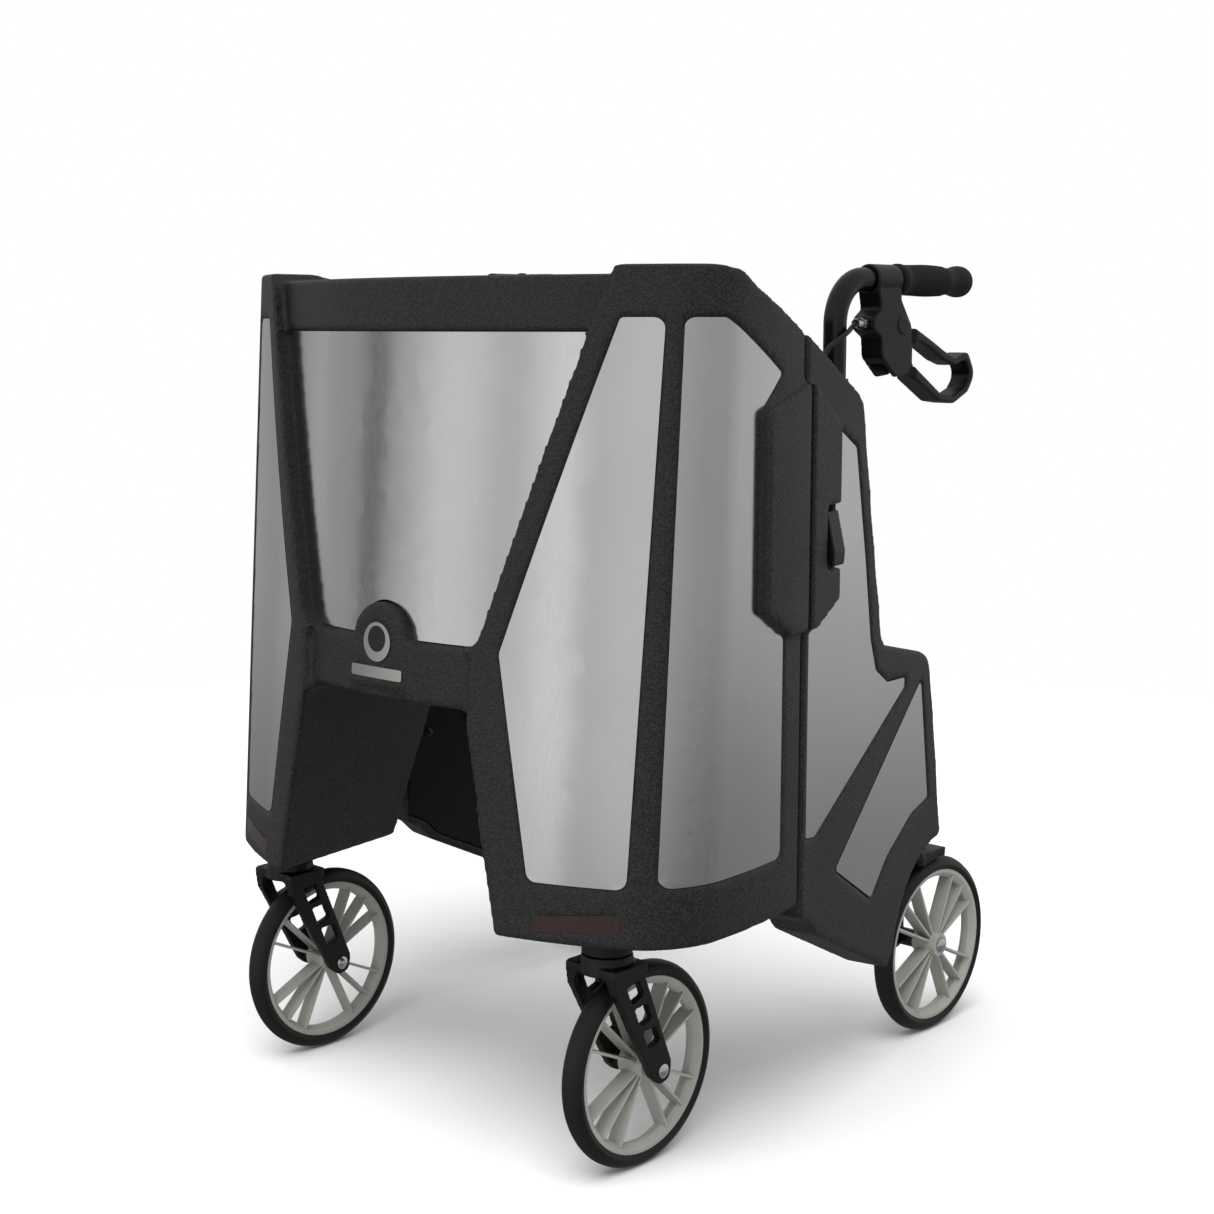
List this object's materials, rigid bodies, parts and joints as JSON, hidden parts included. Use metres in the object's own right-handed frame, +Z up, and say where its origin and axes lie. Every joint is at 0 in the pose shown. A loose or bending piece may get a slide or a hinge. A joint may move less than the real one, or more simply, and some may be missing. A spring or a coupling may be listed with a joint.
{
  "type": "four-wheeled walker",
  "caption": "Four-wheeled walker with moulded foam front shell, metal-look panels, fold-in side wings, loop-brake handles, seat and spoked wheels.",
  "frame": {"origin": "on the ground, in the middle of the walker's overall footprint", "axes": "+Z up, -Y the front of the walker (direction of travel), +X the user's left hand"},
  "size_m": [0.6638, 0.7186, 0.8591],
  "materials": {
    "foam_shell": "coarse pebbled moulded foam",
    "brushed_panel": "fine brushed, satin",
    "badge_metal": "satin",
    "reflector": "dark red, ribbed",
    "steel_tube": "satin black powder coat",
    "zinc_steel": "bright zinc",
    "black_plastic": "fine satin grain",
    "seat_cover": "coated black fabric",
    "cable_jacket": "smooth black jacket",
    "grip_rubber": "soft ribbed",
    "tyre_rubber": "matt black",
    "rim_plastic": "satin light grey"
  },
  "bodies": {
    "chassis": {"shell_left": "foam_shell", "shell_right": "foam_shell", "front_wall": "foam_shell", "apron": "foam_shell", "badge_plates": "badge_metal", "front_panel": "brushed_panel", "corner_panels": "brushed_panel", "side_panels": "brushed_panel", "reflectors": "reflector", "leg_frame": "steel_tube", "caster_sockets": "black_plastic", "latch_keepers": "zinc_steel", "seat_tray": "black_plastic", "back_pad": "seat_cover", "seat_hinge": "steel_tube", "hinge_sets": "steel_tube"},
    "seat": {"seat_board": "black_plastic", "seat_cushion": "seat_cover"},
    "wing_left": {"wing_shell_left": "foam_shell", "wing_cover_left": "black_plastic", "wing_panels_left": "brushed_panel", "post_sleeve_left": "steel_tube", "wing_frame_left": "steel_tube", "brake_cable_lower_left": "cable_jacket"},
    "handle_left": {"handle_post_left": "steel_tube", "grip_left": "grip_rubber", "brake_housing_left": "black_plastic", "cable_adjuster_left": "zinc_steel", "brake_cable_upper_left": "cable_jacket"},
    "lever_left": {"brake_lever_left": "black_plastic"},
    "shoe_left": {"brake_shoe_left": "black_plastic"},
    "paddle_left": {"latch_paddle_left": "black_plastic"},
    "knob_left": {"height_knob_left": "black_plastic"},
    "rear_wheel_left": {"rear_tyre_left": "tyre_rubber", "rear_rim_left": "rim_plastic"},
    "caster_left": {"caster_fork_left": "black_plastic", "caster_bolt_left": "zinc_steel"},
    "front_wheel_left": {"front_tyre_left": "tyre_rubber", "front_rim_left": "rim_plastic"},
    "wing_right": {"wing_shell_right": "foam_shell", "wing_cover_right": "black_plastic", "wing_panels_right": "brushed_panel", "post_sleeve_right": "steel_tube", "wing_frame_right": "steel_tube", "brake_cable_lower_right": "cable_jacket"},
    "handle_right": {"handle_post_right": "steel_tube", "grip_right": "grip_rubber", "brake_housing_right": "black_plastic", "cable_adjuster_right": "zinc_steel", "brake_cable_upper_right": "cable_jacket"},
    "lever_right": {"brake_lever_right": "black_plastic"},
    "shoe_right": {"brake_shoe_right": "black_plastic"},
    "paddle_right": {"latch_paddle_right": "black_plastic"},
    "knob_right": {"height_knob_right": "black_plastic"},
    "rear_wheel_right": {"rear_tyre_right": "tyre_rubber", "rear_rim_right": "rim_plastic"},
    "caster_right": {"caster_fork_right": "black_plastic", "caster_bolt_right": "zinc_steel"},
    "front_wheel_right": {"front_tyre_right": "tyre_rubber", "front_rim_right": "rim_plastic"}
  },
  "joints": [
    {"name": "seat_lid", "type": "hinge", "parent": "chassis", "child": "seat", "pos_m": [0, -0.27974, 0.588], "axis": [1, 0, 0], "range_deg": [0, 82]},
    {"name": "wing_fold_left", "type": "hinge", "parent": "chassis", "child": "wing_left", "pos_m": [0.25, -0.09774, 0.6], "axis": [0, 0, 1], "range_deg": [0, 79]},
    {"name": "handle_height_left", "type": "slide", "parent": "wing_left", "child": "handle_left", "axis": [0, 0, 1], "range_m": [0, 0.1]},
    {"name": "brake_squeeze_left", "type": "hinge", "parent": "handle_left", "child": "lever_left", "pos_m": [0.26991, 0.10826, 0.797], "axis": [1, 0, 0], "range_deg": [-12, 14], "stiffness_Nm_per_rad": 5},
    {"name": "brake_shoe_left", "type": "hinge", "parent": "wing_left", "child": "shoe_left", "pos_m": [0.23492, 0.21926, 0.208], "axis": [1, 0, 0], "range_deg": [-1.8, 1.6]},
    {"name": "latch_release_left", "type": "hinge", "parent": "wing_left", "child": "paddle_left", "pos_m": [0.30233, -0.0402, 0.613], "axis": [0.1771, -0.9842, 0], "range_deg": [0, 25], "stiffness_Nm_per_rad": 0.3},
    {"name": "height_knob_left", "type": "hinge", "parent": "wing_left", "child": "knob_left", "pos_m": [0.24991, 0.00926, 0.66], "axis": [1, 0, 0], "continuous": true},
    {"name": "rear_wheel_left", "type": "hinge", "parent": "wing_left", "child": "rear_wheel_left", "pos_m": [0.23492, 0.25926, 0.1], "axis": [1, 0, 0], "continuous": true},
    {"name": "caster_swivel_left", "type": "hinge", "parent": "chassis", "child": "caster_left", "pos_m": [0.234, -0.28374, 0.25], "axis": [0, 0, 1], "continuous": true},
    {"name": "front_wheel_left", "type": "hinge", "parent": "caster_left", "child": "front_wheel_left", "pos_m": [0.234, -0.23974, 0.1], "axis": [1, 0, 0], "continuous": true},
    {"name": "wing_fold_right", "type": "hinge", "parent": "chassis", "child": "wing_right", "pos_m": [-0.25, -0.09774, 0.6], "axis": [0, 0, 1], "range_deg": [-79, 0]},
    {"name": "handle_height_right", "type": "slide", "parent": "wing_right", "child": "handle_right", "axis": [0, 0, 1], "range_m": [0, 0.1]},
    {"name": "brake_squeeze_right", "type": "hinge", "parent": "handle_right", "child": "lever_right", "pos_m": [-0.26991, 0.10826, 0.797], "axis": [1, 0, 0], "range_deg": [-12, 14], "stiffness_Nm_per_rad": 5},
    {"name": "brake_shoe_right", "type": "hinge", "parent": "wing_right", "child": "shoe_right", "pos_m": [-0.23492, 0.21926, 0.208], "axis": [1, 0, 0], "range_deg": [-1.8, 1.6]},
    {"name": "latch_release_right", "type": "hinge", "parent": "wing_right", "child": "paddle_right", "pos_m": [-0.30233, -0.0402, 0.613], "axis": [0.1771, 0.9842, 0], "range_deg": [0, 25], "stiffness_Nm_per_rad": 0.3},
    {"name": "height_knob_right", "type": "hinge", "parent": "wing_right", "child": "knob_right", "pos_m": [-0.24991, 0.00926, 0.66], "axis": [1, 0, 0], "continuous": true},
    {"name": "rear_wheel_right", "type": "hinge", "parent": "wing_right", "child": "rear_wheel_right", "pos_m": [-0.23492, 0.25926, 0.1], "axis": [1, 0, 0], "continuous": true},
    {"name": "caster_swivel_right", "type": "hinge", "parent": "chassis", "child": "caster_right", "pos_m": [-0.234, -0.28374, 0.25], "axis": [0, 0, 1], "continuous": true},
    {"name": "front_wheel_right", "type": "hinge", "parent": "caster_right", "child": "front_wheel_right", "pos_m": [-0.234, -0.23974, 0.1], "axis": [1, 0, 0], "continuous": true}
  ],
  "couplings": [
    {"joint": "brake_shoe_left", "follows": "brake_squeeze_left", "ratio": -0.11},
    {"joint": "brake_shoe_right", "follows": "brake_squeeze_right", "ratio": -0.11}
  ]
}
